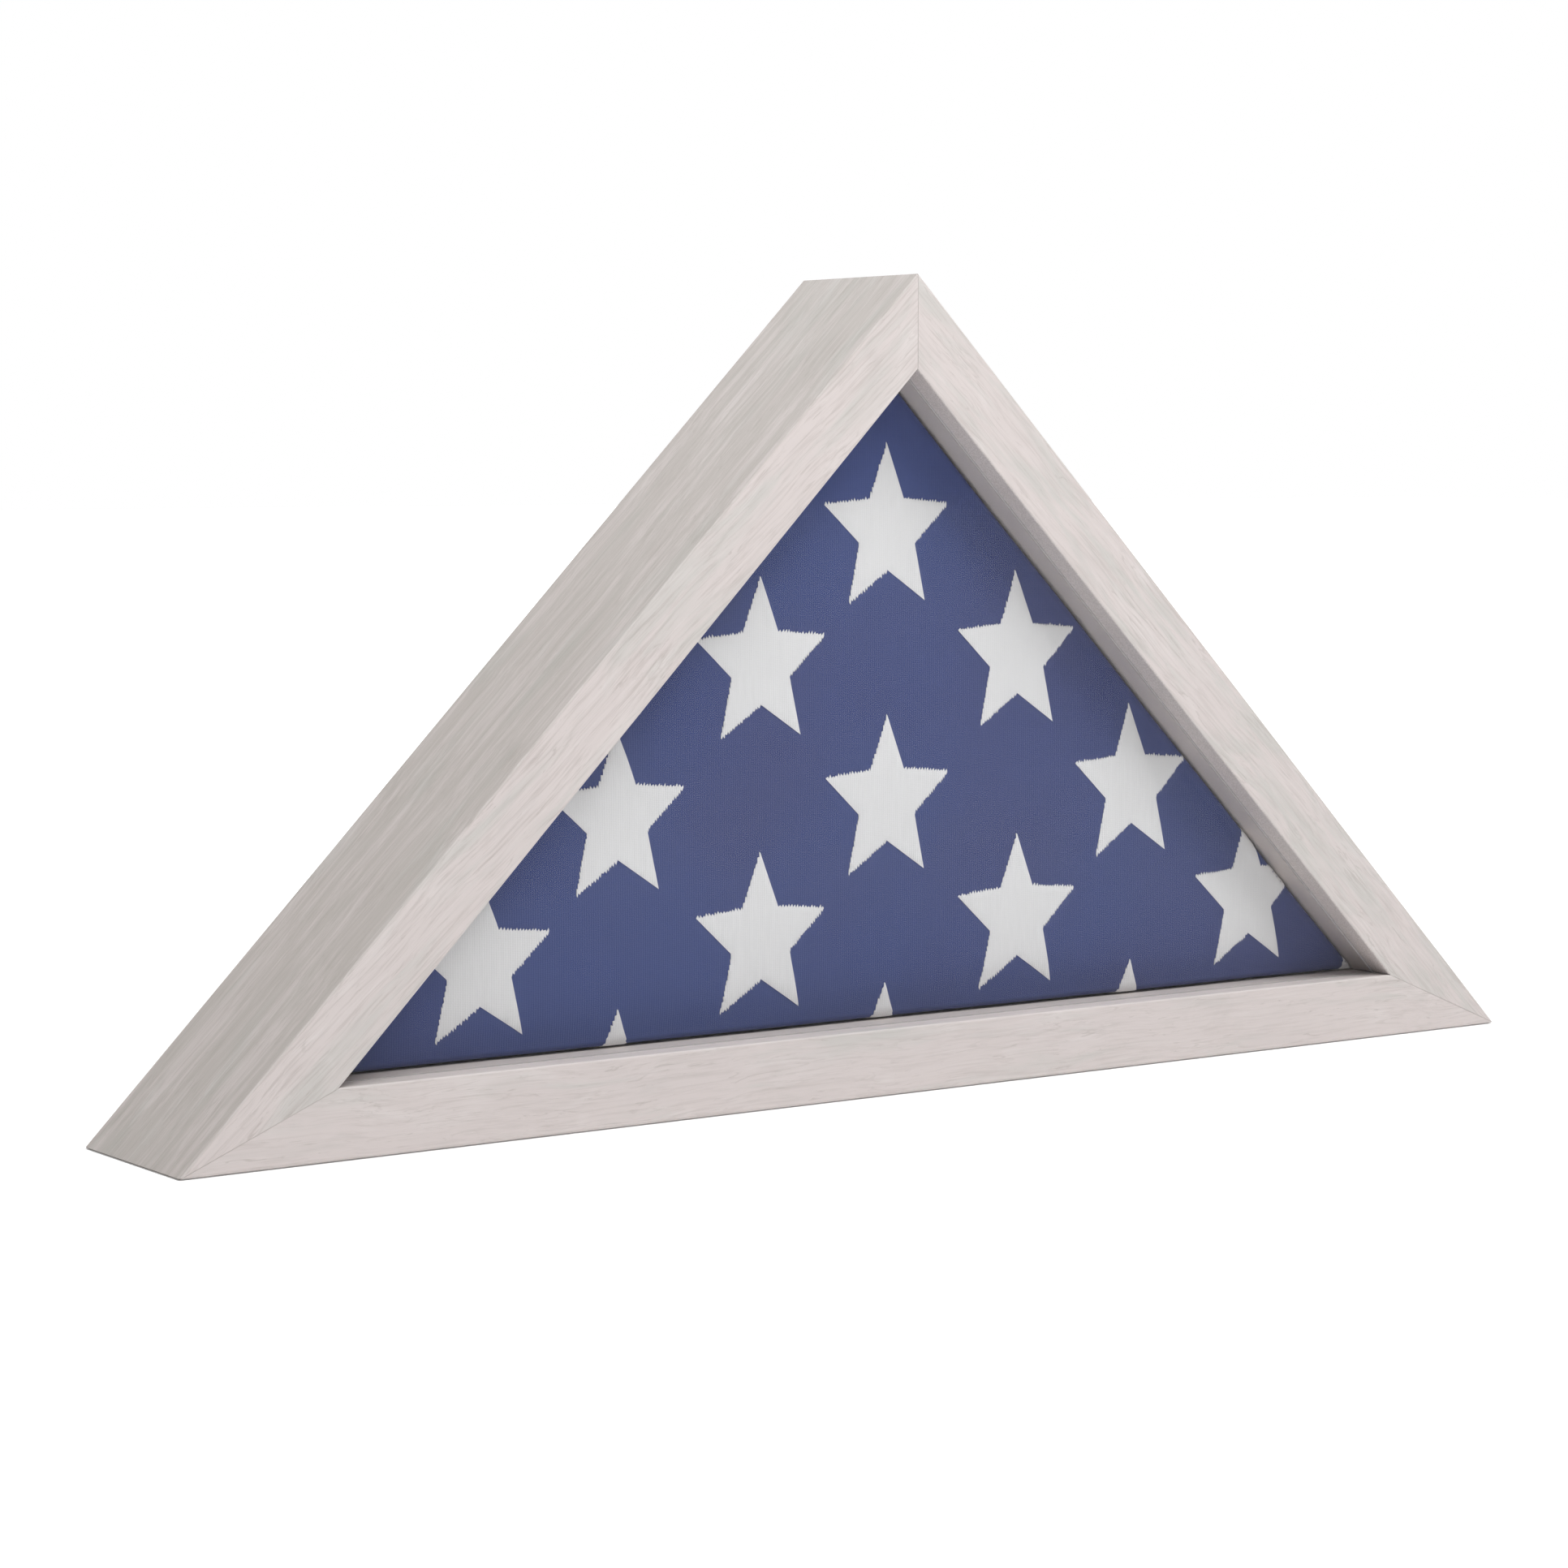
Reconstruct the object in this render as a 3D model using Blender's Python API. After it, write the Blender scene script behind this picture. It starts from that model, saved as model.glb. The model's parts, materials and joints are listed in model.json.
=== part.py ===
"""Triangular display case for a folded flag.

Three mitred mouldings hold a clear front sheet, liner strips and the folded flag.
A hardboard panel closes the back, held by turn buttons that swing on screws.
Two D-ring hangers and two bumpers let the case hang on a wall.

Frame: metres, +Z up.  The case stands on z = 0, centred on x = 0 and y = 0.
Its front faces -Y and its back faces +Y.  Left and right are as seen from the front.
"""

import math

import bmesh
import bpy
from mathutils import Matrix, Vector

# Driving dimensions of the case
CASE_WIDTH = 0.660
CASE_HEIGHT = CASE_WIDTH / 2
CASE_DEPTH = 0.079
GAP = 0.0003                 # kept between pieces that touch

# Moulding section: u runs inward from the outer face, v runs from front to back
FACE_WIDTH = 0.027           # front face
WALL = 0.021                 # side wall behind the lip
LIP_DEPTH = 0.010
ARRIS = 0.0008               # radius of the eased edges

# What the moulding holds, front to back
GLAZING_THICKNESS = 0.0015
FLAG_FRONT = 0.020           # the flag's face, measured back from the front of the case
FLAG_THICKNESS = 0.045
FLAG_CLEARANCE = 0.0006
FLAG_CORNER_RADIUS = 0.004
FLAG_EDGE_RADIUS = 0.006
PANEL_THICKNESS = 0.003
SHEET_PLAY = 0.0006          # between a sheet's edge and the side walls
BLUNT_CORNER = 0.0035        # takes the points off a sheet's sharp corners

# Turn buttons: flat steel arms with a round hub and a narrower round tip
BUTTON_THICKNESS = 0.0012
BUTTON_HUB_RADIUS = 0.0060
BUTTON_TIP_RADIUS = 0.0042
BUTTON_REACH = 0.0205        # hub centre to tip centre
BUTTON_HOLE_RADIUS = 0.0021
BUTTON_EASE = 0.0002

# Pan head screws
SHANK_RADIUS = 0.0016
SHANK_LENGTH = 0.0150
SHANK_POINT = 0.0030         # length of the tapered point
HEAD_RADIUS = 0.0036
HEAD_HEIGHT = 0.0022
RECESS_WIDTH = 0.0008
RECESS_SPAN = 0.0038
RECESS_DEPTH = 0.0011

# D-ring hangers
WIRE_RADIUS = 0.0012
RING_HALF_WIDTH = 0.0075     # to the centre line of the wire
RING_REACH = 0.0117          # bar to bow, centre line to centre line
RING_BAR_CORNER = 0.0020
STRAP_WIDTH = 0.0100
STRAP_THICKNESS = 0.0012
STRAP_LENGTH = 0.0250        # ring axis to the rounded end
STRAP_END_RADIUS = 0.0046
STRAP_HOLE = 0.0185          # ring axis to screw
HANGER_STATION = 0.115       # ring axis to the apex, along the rail

# Bumpers and V nails
BUMPER_RADIUS = 0.0060
BUMPER_HEIGHT = 0.0060
BUMPER_EASE = 0.0010
BUMPER_INSET = 0.068         # from the sharp bottom corner
NAIL_DEPTH = 0.0100
NAIL_SHEET = 0.0009
NAIL_WING = 0.0065
NAIL_FOLD = math.radians(45)
NAIL_PLACES = {"outer": 0.36, "inner": 0.68}     # as a share of the mitre line

# Worked out from the driving dimensions
FRONT_Y = -CASE_DEPTH / 2
REAR_Y = CASE_DEPTH / 2
LEG = CASE_WIDTH / math.sqrt(2)
SHARP = math.radians(45)
SQUARE = math.radians(90)
LEG_TURN = math.radians(135)
MID_WALL = WALL / 2
GLAZING_V = LIP_DEPTH + GAP
LINER_V = GLAZING_V + GLAZING_THICKNESS + GAP
PANEL_V = CASE_DEPTH - GAP - PANEL_THICKNESS
HEAD_BASE = GAP + BUTTON_THICKNESS + GAP
RING_AXIS = GAP + STRAP_THICKNESS + GAP + WIRE_RADIUS
PILOT_RADIUS = SHANK_RADIUS + GAP
CUT_MARGIN = 0.001

# Each side: start corner (x, z), turn about Y, length, corner angle at its start and end.
# In a side's own frame X runs along it, Y runs to the back and Z points into the case.
SIDES = {
    "bottom": ((-CASE_WIDTH / 2, 0.0), 0.0, CASE_WIDTH, SHARP, SHARP),
    "right": ((CASE_WIDTH / 2, 0.0), -LEG_TURN, LEG, SHARP, SQUARE),
    "left": ((0.0, CASE_HEIGHT), LEG_TURN, LEG, SQUARE, SHARP),
}

# Each corner: its point (x, z), the direction of its mitre line, and its angle.
CORNERS = {
    "bottom_left": ((-CASE_WIDTH / 2, 0.0), (math.cos(SHARP / 2), math.sin(SHARP / 2)), SHARP),
    "bottom_right": ((CASE_WIDTH / 2, 0.0), (-math.cos(SHARP / 2), math.sin(SHARP / 2)), SHARP),
    "apex": ((0.0, CASE_HEIGHT), (0.0, -1.0), SQUARE),
}

# Each turn button: side, place as a share of the side, and which way its arm lies.
BUTTONS = {
    "bottom_left": ("bottom", 0.30, 1),
    "bottom_right": ("bottom", 0.70, -1),
    "right_lower": ("right", 0.32, 1),
    "right_upper": ("right", 0.62, 1),
    "left_lower": ("left", 0.68, -1),
    "left_upper": ("left", 0.38, -1),
}

# Each hanger: side, distance of its ring along the side, and the way its strap runs.
HANGERS = {
    "left": ("left", HANGER_STATION, 1),
    "right": ("right", LEG - HANGER_STATION, -1),
}


def clear_scene():
    for old in list(bpy.data.objects):
        bpy.data.objects.remove(old, do_unlink=True)


def make_material(name, colour, roughness, metallic=0.0, transmission=0.0):
    material = bpy.data.materials.new(name)
    material.use_nodes = True
    shader = material.node_tree.nodes["Principled BSDF"]
    shader.inputs["Base Color"].default_value = (*colour, 1.0)
    shader.inputs["Roughness"].default_value = roughness
    shader.inputs["Metallic"].default_value = metallic
    shader.inputs["Transmission Weight"].default_value = transmission
    return material


def add_object(name, bm, material, parent=None, location=(0, 0, 0), turn=0.0, smooth=False):
    """Make an object from a bmesh, turned about its own Y axis."""
    mesh = bpy.data.meshes.new(name)
    bmesh.ops.recalc_face_normals(bm, faces=bm.faces)
    bm.to_mesh(mesh)
    bm.free()
    if smooth:
        mesh.shade_smooth()
        mesh.set_sharp_from_angle(angle=math.radians(35))
    obj = bpy.data.objects.new(name, mesh)
    obj.data.materials.append(material)
    obj.parent = parent
    obj.location = location
    obj.rotation_euler = (0.0, turn, 0.0)
    bpy.context.scene.collection.objects.link(obj)
    return obj


def as_cutter(obj):
    obj.hide_render = True
    obj.display_type = "WIRE"
    return obj


def cut(target, cutter):
    modifier = target.modifiers.new("cut", "BOOLEAN")
    modifier.operation = "DIFFERENCE"
    modifier.object = cutter


def ease(target, width, segments=2):
    modifier = target.modifiers.new("ease", "BEVEL")
    modifier.width = width
    modifier.segments = segments
    modifier.limit_method = "ANGLE"
    modifier.angle_limit = math.radians(50)


def fillet(corners, segments):
    """Round the corners of a polygon.  A corner is (x, y, radius); radius 0 stays sharp."""
    points = []
    count = len(corners)
    for index, (x, y, radius) in enumerate(corners):
        here = Vector((x, y))
        if radius == 0:
            points.append(here)
            continue
        before = (Vector(corners[index - 1][:2]) - here).normalized()
        after = (Vector(corners[(index + 1) % count][:2]) - here).normalized()
        half = before.angle(after) / 2
        start = here + before * (radius / math.tan(half))
        centre = here + (before + after).normalized() * (radius / math.sin(half))
        first = start - centre
        sweep = (math.pi - 2 * half) * math.copysign(1, before.cross(after))
        for step in range(segments + 1):
            angle = -sweep * step / segments
            points.append(centre + Matrix.Rotation(angle, 2) @ first)
    return points


def prism(outline, low, high):
    """Solid with the outline (x, z), reaching from low to high along Y."""
    bm = bmesh.new()
    front = [bm.verts.new((x, low, z)) for x, z in outline]
    back = [bm.verts.new((x, high, z)) for x, z in outline]
    bm.faces.new(front)
    bm.faces.new(reversed(back))
    for index in range(len(outline)):
        after = (index + 1) % len(outline)
        bm.faces.new((front[index], front[after], back[after], back[index]))
    return bm


def lathe(profile, segments):
    """Solid turned about Y.  The profile is (radius, y), from one end of the axis to the other."""
    bm = bmesh.new()
    rings = []
    for radius, y in profile:
        if radius == 0:
            rings.append([bm.verts.new((0, y, 0))])
            continue
        ring = []
        for step in range(segments):
            angle = math.tau * step / segments
            ring.append(bm.verts.new((radius * math.cos(angle), y, radius * math.sin(angle))))
        rings.append(ring)
    for lower, upper in zip(rings, rings[1:]):
        for step in range(segments):
            after = (step + 1) % segments
            corners = [lower[step % len(lower)], lower[after % len(lower)],
                       upper[after % len(upper)], upper[step % len(upper)]]
            bm.faces.new(list(dict.fromkeys(corners)))
    return bm


def mitred_bar(section, side):
    """Bar along a side with the section (v, u), its ends cut to the mitre planes less half a gap."""
    _, _, length, start_angle, end_angle = SIDES[side]
    bm = bmesh.new()
    start = []
    end = []
    for v, u in section:
        start_x = u / math.tan(start_angle / 2) + GAP / 2 / math.sin(start_angle / 2)
        end_x = length - u / math.tan(end_angle / 2) - GAP / 2 / math.sin(end_angle / 2)
        start.append(bm.verts.new((start_x, v, u)))
        end.append(bm.verts.new((end_x, v, u)))
    bm.faces.new(start)
    bm.faces.new(reversed(end))
    for index in range(len(section)):
        after = (index + 1) % len(section)
        bm.faces.new((start[index], start[after], end[after], end[index]))
    return bm


def triangle(inset, radius, segments):
    """The case's outline moved in by an inset, with its corners rounded or blunted."""
    half = CASE_WIDTH / 2 - inset / math.tan(SHARP / 2)
    apex = CASE_HEIGHT - inset / math.sin(SQUARE / 2)
    return fillet([(-half, inset, radius), (half, inset, radius), (0, apex, radius)], segments)


def side_frame(side):
    (x, z), turn, *_ = SIDES[side]
    frame = bpy.data.objects.new("side_" + side, None)
    frame.location = (x, FRONT_Y, z)
    frame.rotation_euler = (0.0, turn, 0.0)
    bpy.context.scene.collection.objects.link(frame)
    return frame


def build_mouldings(frames, wood):
    section = fillet([(0, 0, ARRIS), (CASE_DEPTH, 0, ARRIS), (CASE_DEPTH, WALL, ARRIS), (LIP_DEPTH, WALL, 0),
                      (LIP_DEPTH, FACE_WIDTH, 0), (0, FACE_WIDTH, ARRIS)], segments=3)
    return [add_object(side + "_rail", mitred_bar(section, side), wood, frame, smooth=True)
            for side, frame in frames.items()]


def build_liners(frames, wood):
    low, high = LINER_V, PANEL_V - GAP
    section = [(low, WALL + GAP), (high, WALL + GAP), (high, FACE_WIDTH), (low, FACE_WIDTH)]
    for side, frame in frames.items():
        add_object(side + "_liner", mitred_bar(section, side), wood, frame)


def build_sheets(acrylic, hardboard, cloth):
    rabbet = WALL + SHEET_PLAY
    glazing = triangle(rabbet, BLUNT_CORNER, segments=1)
    add_object("glazing_panel", prism(glazing, 0, GLAZING_THICKNESS), acrylic,
               location=(0, FRONT_Y + GLAZING_V, 0))
    panel = triangle(rabbet, BLUNT_CORNER, segments=1)
    add_object("back_panel", prism(panel, 0, PANEL_THICKNESS), hardboard,
               location=(0, FRONT_Y + PANEL_V, 0))
    bundle = triangle(FACE_WIDTH + FLAG_CLEARANCE, FLAG_CORNER_RADIUS, segments=4)
    flag = add_object("folded_flag", prism(bundle, 0, FLAG_THICKNESS), cloth,
                      location=(0, FRONT_Y + FLAG_FRONT, 0))
    ease(flag, FLAG_EDGE_RADIUS, segments=3)


def screw_recess():
    """Cross for the driver, as a cutter centred on the top of a screw's head."""
    arm, half = RECESS_SPAN / 2, RECESS_WIDTH / 2
    cross = [(half, half), (half, arm), (-half, arm), (-half, half), (-arm, half), (-arm, -half),
             (-half, -half), (-half, -arm), (half, -arm), (half, -half), (arm, -half), (arm, half)]
    return prism(cross, HEAD_HEIGHT - RECESS_DEPTH, HEAD_HEIGHT + CUT_MARGIN)


def build_screw(name, steel, frame, location):
    """Pan head screw.  Its origin is under the head, on its axis."""
    tip = -SHANK_LENGTH
    profile = [(0, tip), (SHANK_RADIUS, tip + SHANK_POINT), (SHANK_RADIUS, 0), (HEAD_RADIUS, 0),
               (HEAD_RADIUS, HEAD_HEIGHT * 0.45), (HEAD_RADIUS * 0.88, HEAD_HEIGHT * 0.78),
               (HEAD_RADIUS * 0.62, HEAD_HEIGHT * 0.96), (HEAD_RADIUS * 0.3, HEAD_HEIGHT), (0, HEAD_HEIGHT)]
    screw = add_object(name, lathe(profile, 16), steel, frame, location, smooth=True)
    cutter = add_object(name + "_recess", screw_recess(), steel, frame, location, turn=SHARP)
    cut(screw, as_cutter(cutter))


def build_turn_buttons(frames, steel):
    """Each button's origin is on its screw's axis, on the rail's rear face."""
    lean = math.asin((BUTTON_HUB_RADIUS - BUTTON_TIP_RADIUS) / BUTTON_REACH)
    outline = []
    for centre, radius, first, last in ((0, BUTTON_HUB_RADIUS, SQUARE - lean, 3 * SQUARE + lean),
                                        (BUTTON_REACH, BUTTON_TIP_RADIUS, lean - SQUARE, SQUARE - lean)):
        steps = 10
        for step in range(steps + 1):
            angle = first + (last - first) * step / steps
            outline.append((centre + radius * math.cos(angle), radius * math.sin(angle)))
    hole = as_cutter(add_object("button_hole", lathe([(0, -CUT_MARGIN), (BUTTON_HOLE_RADIUS, -CUT_MARGIN),
                                (BUTTON_HOLE_RADIUS, 2 * CUT_MARGIN), (0, 2 * CUT_MARGIN)], 16), steel))
    for name, (side, share, lay) in BUTTONS.items():
        along = SIDES[side][2] * share
        place = (along, CASE_DEPTH + GAP, MID_WALL)
        turn = 0.0 if lay > 0 else math.pi
        button = add_object("turn_button_" + name, prism(outline, 0, BUTTON_THICKNESS), steel,
                            frames[side], place, turn)
        drill = hole.copy()
        drill.name = "drill_" + name
        drill.parent = frames[side]
        drill.location = place
        bpy.context.scene.collection.objects.link(drill)
        ease(button, BUTTON_EASE, segments=1)
        cut(button, drill)
        build_screw("turn_screw_" + name, steel, frames[side], (along, CASE_DEPTH + HEAD_BASE, MID_WALL))
    bpy.data.objects.remove(hole)


def ring_mesh():
    """D-shaped wire ring lying in the XZ plane: its bar on the Z axis, its bow towards +X."""
    wide = RING_HALF_WIDTH
    path = fillet([(0, -wide, RING_BAR_CORNER), (RING_REACH, -wide, wide * 0.999),
                   (RING_REACH, wide, wide * 0.999), (0, wide, RING_BAR_CORNER)], segments=7)
    sides = 10
    bm = bmesh.new()
    rings = []
    for index, point in enumerate(path):
        before = (point - path[index - 1]).normalized()
        after = (path[(index + 1) % len(path)] - point).normalized()
        along = (before + after).normalized()
        out = Vector((along.y, -along.x))
        ring = []
        for step in range(sides):
            angle = math.tau * step / sides
            spot = point + out * WIRE_RADIUS * math.cos(angle)
            ring.append(bm.verts.new((spot.x, WIRE_RADIUS * math.sin(angle), spot.y)))
        rings.append(ring)
    for index, ring in enumerate(rings):
        following = rings[(index + 1) % len(rings)]
        for step in range(sides):
            after = (step + 1) % sides
            bm.faces.new((ring[step], ring[after], following[after], following[step]))
    return bm


def strap_mesh():
    """Flat strap along +X whose end curls round the ring's bar.  Its underside rests at y = GAP."""
    inner = WIRE_RADIUS + GAP
    outer = inner + STRAP_THICKNESS
    curl_start, curl_end, steps = math.radians(270), math.radians(65), 12
    arc = [curl_start + (curl_end - curl_start) * step / steps for step in range(steps + 1)]
    profile = [(STRAP_LENGTH, GAP)]
    profile += [(outer * math.cos(a), RING_AXIS + outer * math.sin(a)) for a in arc]
    profile += [(inner * math.cos(a), RING_AXIS + inner * math.sin(a)) for a in reversed(arc)]
    profile += [(STRAP_LENGTH, GAP + STRAP_THICKNESS)]
    half = STRAP_WIDTH / 2
    bm = bmesh.new()
    near = [bm.verts.new((x, y, -half)) for x, y in profile]
    far = [bm.verts.new((x, y, half)) for x, y in profile]
    bm.faces.new(near)
    bm.faces.new(reversed(far))
    for index in range(len(profile)):
        after = (index + 1) % len(profile)
        bm.faces.new((near[index], near[after], far[after], far[index]))
    ends = [edge for edge in bm.edges if all(vert.co.x > STRAP_HOLE for vert in edge.verts)
            and abs(edge.verts[0].co.z - edge.verts[1].co.z) < GAP]
    bmesh.ops.bevel(bm, geom=ends, offset=STRAP_END_RADIUS, segments=5, profile=0.5, affect="EDGES")
    return bm


def build_hangers(frames, steel):
    for name, (side, along, run) in HANGERS.items():
        frame = frames[side]
        turn = 0.0 if run > 0 else math.pi
        base = (along, CASE_DEPTH, MID_WALL)
        strap = add_object("hanger_strap_" + name, strap_mesh(), steel, frame, base, turn, smooth=True)
        hole_place = (along + run * STRAP_HOLE, CASE_DEPTH, MID_WALL)
        hole = add_object("strap_hole_" + name, lathe([(0, -CUT_MARGIN), (BUTTON_HOLE_RADIUS, -CUT_MARGIN),
                          (BUTTON_HOLE_RADIUS, 3 * CUT_MARGIN), (0, 3 * CUT_MARGIN)], 16),
                          steel, frame, hole_place)
        cut(strap, as_cutter(hole))
        add_object("hanger_ring_" + name, ring_mesh(), steel, frame,
                   (along, CASE_DEPTH + RING_AXIS, MID_WALL), turn, smooth=True)
        build_screw("hanger_screw_" + name, steel, frame,
                    (along + run * STRAP_HOLE, CASE_DEPTH + HEAD_BASE, MID_WALL))


def build_bumpers(rubber):
    profile = [(0, 0), (BUMPER_RADIUS, 0), (BUMPER_RADIUS, BUMPER_HEIGHT - BUMPER_EASE),
               (BUMPER_RADIUS - BUMPER_EASE * 0.3, BUMPER_HEIGHT - BUMPER_EASE * 0.3),
               (BUMPER_RADIUS - BUMPER_EASE, BUMPER_HEIGHT), (0, BUMPER_HEIGHT)]
    for name, hand in (("left", -1), ("right", 1)):
        place = (hand * (CASE_WIDTH / 2 - BUMPER_INSET), REAR_Y + GAP, MID_WALL)
        add_object("wall_bumper_" + name, lathe(profile, 24), rubber, location=place, smooth=True)


def nail_outline(corner, share, grow):
    """Folded nail as a chevron (x, z): its fold on the mitre line, a wing in each rail."""
    (x, z), direction, angle = CORNERS[corner]
    mitre = Vector(direction)
    across = Vector((-mitre.y, mitre.x))
    fold = Vector((x, z)) + mitre * (share * WALL / math.sin(angle / 2))
    half = NAIL_SHEET / 2 + grow
    wings = [-mitre * math.cos(NAIL_FOLD) + across * math.sin(NAIL_FOLD) * hand for hand in (1, -1)]
    tip = mitre * (half / math.sin(NAIL_FOLD))
    ends = []
    for wing, hand in zip(wings, (1, -1)):
        end = fold + wing * (NAIL_WING + grow)
        normal = (mitre * math.sin(NAIL_FOLD) + across * math.cos(NAIL_FOLD) * hand) * half
        ends.append((end + normal, end - normal))
    return [fold + tip, ends[0][0], ends[0][1], fold - tip, ends[1][1], ends[1][0]]


def build_nails(steel):
    for corner in CORNERS:
        for label, share in NAIL_PLACES.items():
            outline = nail_outline(corner, share, 0.0)
            add_object(f"v_nail_{corner}_{label}", prism(outline, -NAIL_DEPTH, 0), steel,
                       location=(0, REAR_Y - GAP, 0))


def rear_pockets(frames, steel):
    """One cutter for all that is let into the rails' rear faces: nail slots and pilot holes."""
    nails = bmesh.new()
    for corner in CORNERS:
        for share in NAIL_PLACES.values():
            slot = prism(nail_outline(corner, share, GAP), -NAIL_DEPTH - 2 * GAP, CUT_MARGIN)
            copy_into(nails, slot, Matrix.Translation((0, REAR_Y, 0)))
    bottom = CASE_DEPTH + HEAD_BASE - SHANK_LENGTH - CUT_MARGIN
    places = [(side, SIDES[side][2] * share) for side, share, _ in BUTTONS.values()]
    places += [(side, along + run * STRAP_HOLE) for side, along, run in HANGERS.values()]
    top = CASE_DEPTH + CUT_MARGIN
    for side, along in places:
        pilot = lathe([(0, bottom), (PILOT_RADIUS, bottom), (PILOT_RADIUS, top), (0, top)], 12)
        copy_into(nails, pilot, frames[side].matrix_world @ Matrix.Translation((along, 0, MID_WALL)))
    return as_cutter(add_object("rear_pockets", nails, steel))


def copy_into(target, source, matrix):
    """Add a copy of one bmesh to another, moved by a matrix."""
    made = {vert: target.verts.new(matrix @ vert.co) for vert in source.verts}
    for face in source.faces:
        target.faces.new([made[vert] for vert in face.verts])
    source.free()


def main():
    clear_scene()
    wood = make_material("whitewashed_wood", (0.62, 0.57, 0.55), 0.6)
    liner = make_material("whitewashed_liner", (0.58, 0.54, 0.52), 0.6)
    acrylic = make_material("clear_acrylic", (1.0, 1.0, 1.0), 0.03, transmission=1.0)
    hardboard = make_material("hardboard", (0.16, 0.09, 0.05), 0.75)
    cloth = make_material("flag_cloth", (0.075, 0.085, 0.2), 0.9)
    steel = make_material("zinc_steel", (0.62, 0.61, 0.58), 0.35, metallic=1.0)
    brass = make_material("brassed_steel", (0.72, 0.52, 0.25), 0.35, metallic=1.0)
    rubber = make_material("bumper_rubber", (0.03, 0.03, 0.03), 0.8)

    frames = {side: side_frame(side) for side in SIDES}
    bpy.context.view_layer.update()
    rails = build_mouldings(frames, wood)
    pockets = rear_pockets(frames, steel)
    for rail in rails:
        cut(rail, pockets)
    build_liners(frames, liner)
    build_sheets(acrylic, hardboard, cloth)
    build_turn_buttons(frames, steel)
    build_hangers(frames, brass)
    build_bumpers(rubber)
    build_nails(steel)


main()
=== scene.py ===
"""Looks of the folded flag display case: whitewashed mouldings, cloth flag, clear front, hardware."""
import json
import math
import random

import bmesh
import bpy
from mathutils import Matrix, Vector
from mathutils.kdtree import KDTree


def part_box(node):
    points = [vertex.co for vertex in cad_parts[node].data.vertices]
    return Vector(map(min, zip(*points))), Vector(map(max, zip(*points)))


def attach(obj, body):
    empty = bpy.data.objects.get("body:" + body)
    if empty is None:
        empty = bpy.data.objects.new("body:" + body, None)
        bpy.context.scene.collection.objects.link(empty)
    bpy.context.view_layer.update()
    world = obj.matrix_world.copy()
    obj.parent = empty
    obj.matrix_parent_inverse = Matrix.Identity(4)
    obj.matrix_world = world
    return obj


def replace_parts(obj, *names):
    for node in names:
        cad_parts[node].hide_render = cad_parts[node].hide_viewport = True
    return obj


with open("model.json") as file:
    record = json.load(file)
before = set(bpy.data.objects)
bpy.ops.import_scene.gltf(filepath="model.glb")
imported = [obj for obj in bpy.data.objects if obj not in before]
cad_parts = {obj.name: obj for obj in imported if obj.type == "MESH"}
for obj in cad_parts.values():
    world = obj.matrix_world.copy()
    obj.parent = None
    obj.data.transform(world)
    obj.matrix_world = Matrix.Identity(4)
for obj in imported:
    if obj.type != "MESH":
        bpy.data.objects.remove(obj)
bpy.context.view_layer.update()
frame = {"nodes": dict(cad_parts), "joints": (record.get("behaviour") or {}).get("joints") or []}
NODES = frame["nodes"]

# ---------------------------------------------------------------- sizes, from the frame
RAIL_LOW, RAIL_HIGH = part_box("bottom_rail")
FLAG_LOW, FLAG_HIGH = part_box("folded_flag")
CASE_WIDTH = 0.660
HALF_WIDTH = CASE_WIDTH / 2      # also the height, because the apex is a right angle
FRONT_Y = RAIL_LOW[1]
REAR_Y = RAIL_HIGH[1]
FACE_WIDTH = RAIL_HIGH[2]
LEG_TURN = math.radians(135)
GAP = 0.0003                     # between the CAD's pieces
WALL = 0.021                     # the moulding's wall behind its lip
LIP_DEPTH = 0.010
SHARP_HALF = math.radians(22.5)  # half the opening of the two lower corners
SQUARE_HALF = math.radians(45)   # and of the apex

# Each side of the case: its start corner, its turn about Y, and what its wood is like.  The seed picks
# the stretch of grain, tilt leans it, drift sets how fast its colour changes along the rail, and the
# others say how much of each mark shows.
SIDES = {
    "bottom": ((-HALF_WIDTH, FRONT_Y, 0.0), 0.0, {
        "seed": 3.1, "tilt": 0.01, "drift": 60.0, "green_from": 0.50,
        "streaks": 0.40, "veins": 0.22, "bare_edge": 0.10,
    }),
    "right": ((HALF_WIDTH, FRONT_Y, 0.0), -LEG_TURN, {
        "seed": 7.7, "tilt": 0.03, "drift": 120.0, "green_from": 0.44,
        "streaks": 0.55, "veins": 0.36, "bare_edge": 0.80,
    }),
    "left": ((0.0, FRONT_Y, HALF_WIDTH), LEG_TURN, {
        "seed": 12.9, "tilt": -0.07, "drift": 70.0, "green_from": 0.48,
        "streaks": 0.72, "veins": 0.20, "bare_edge": 0.50,
    }),
}

# Each mitre: its outer corner (x, z), and the way its line runs in
CORNERS = {
    "bottom_left": ((-HALF_WIDTH, 0.0), math.cos(SHARP_HALF), math.sin(SHARP_HALF)),
    "bottom_right": ((HALF_WIDTH, 0.0), -math.cos(SHARP_HALF), math.sin(SHARP_HALF)),
    "apex": ((0.0, HALF_WIDTH), 0.0, -1.0),
}

# The glue line in a mitre, measured in from the wood round it
GLUE_INSET = 0.00006
GLUE_OUTER_INSET = 0.0004        # from the rails' outer faces, where the corner is sharp
GLUE_CORNER = 0.0003
GLUE_REAR_STOP = 0.0115          # short of the rear face, ahead of the V nails

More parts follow.
